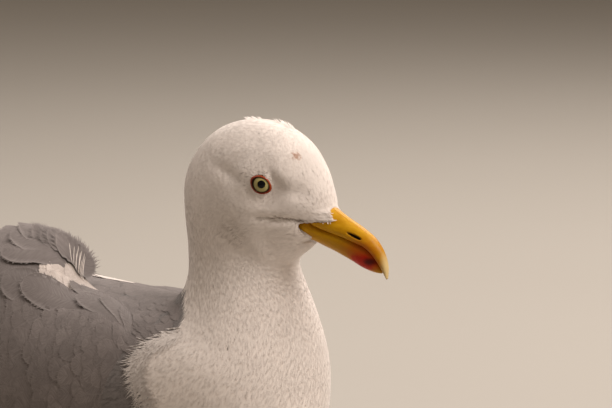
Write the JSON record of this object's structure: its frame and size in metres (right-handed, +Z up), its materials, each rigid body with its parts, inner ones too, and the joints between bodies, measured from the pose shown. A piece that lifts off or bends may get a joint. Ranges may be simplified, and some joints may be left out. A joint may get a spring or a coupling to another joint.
{
  "type": "seagull",
  "caption": "Life-size still model of an adult yellow-legged gull resting on its belly, wings folded, feet tucked under, head turned forward.",
  "frame": {"origin": "middle of the footprint on the floor that the belly rests on", "axes": "+X towards the bill, +Y to the bird's left, +Z up"},
  "size_m": [0.4892, 0.136, 0.2068],
  "materials": {
    "white_plumage": "soft matt feathers",
    "grey_plumage": "soft matt feathers",
    "black_plumage": "smooth feathers with white tips",
    "horn": "satin horn with a red spot near the tip of the lower half",
    "eye": "wet, clear over a pale iris and a black pupil",
    "eye_ring": "bare orange-red skin",
    "leg_skin": "fine scales",
    "claw": "satin horn"
  },
  "bodies": {
    "root": {"head": "white_plumage", "neck": "white_plumage", "breast": "white_plumage", "belly": "white_plumage", "back": "grey_plumage", "rump": "white_plumage", "bill_upper": "horn", "bill_lower": "horn", "eye_left": "eye", "eye_ring_left": "eye_ring", "tarsus_left": "leg_skin", "foot_left": "leg_skin", "claw_left_1": "claw", "claw_left_2": "claw", "claw_left_3": "claw", "eye_right": "eye", "eye_ring_right": "eye_ring", "tarsus_right": "leg_skin", "foot_right": "leg_skin", "claw_right_1": "claw", "claw_right_2": "claw", "claw_right_3": "claw", "wing_left_coverts": "grey_plumage", "wing_right_coverts": "grey_plumage", "wing_left_scapulars": "grey_plumage", "wing_right_scapulars": "grey_plumage", "wing_left_secondaries": "grey_plumage", "wing_right_secondaries": "grey_plumage", "wing_left_tertial_1": "grey_plumage", "wing_right_tertial_1": "grey_plumage", "wing_left_tertial_2": "grey_plumage", "wing_right_tertial_2": "grey_plumage", "wing_left_tertial_3": "grey_plumage", "wing_right_tertial_3": "grey_plumage", "wing_left_primary_6": "black_plumage", "wing_right_primary_6": "black_plumage", "wing_left_primary_7": "black_plumage", "wing_right_primary_7": "black_plumage", "wing_left_primary_8": "black_plumage", "wing_right_primary_8": "black_plumage", "wing_left_primary_9": "black_plumage", "wing_right_primary_9": "black_plumage", "wing_left_primary_10": "black_plumage", "wing_right_primary_10": "black_plumage", "tail_feather_1": "white_plumage", "tail_feather_2": "white_plumage", "tail_feather_3": "white_plumage", "tail_feather_4": "white_plumage", "tail_feather_5": "white_plumage", "tail_feather_6": "white_plumage"}
  },
  "joints": []
}
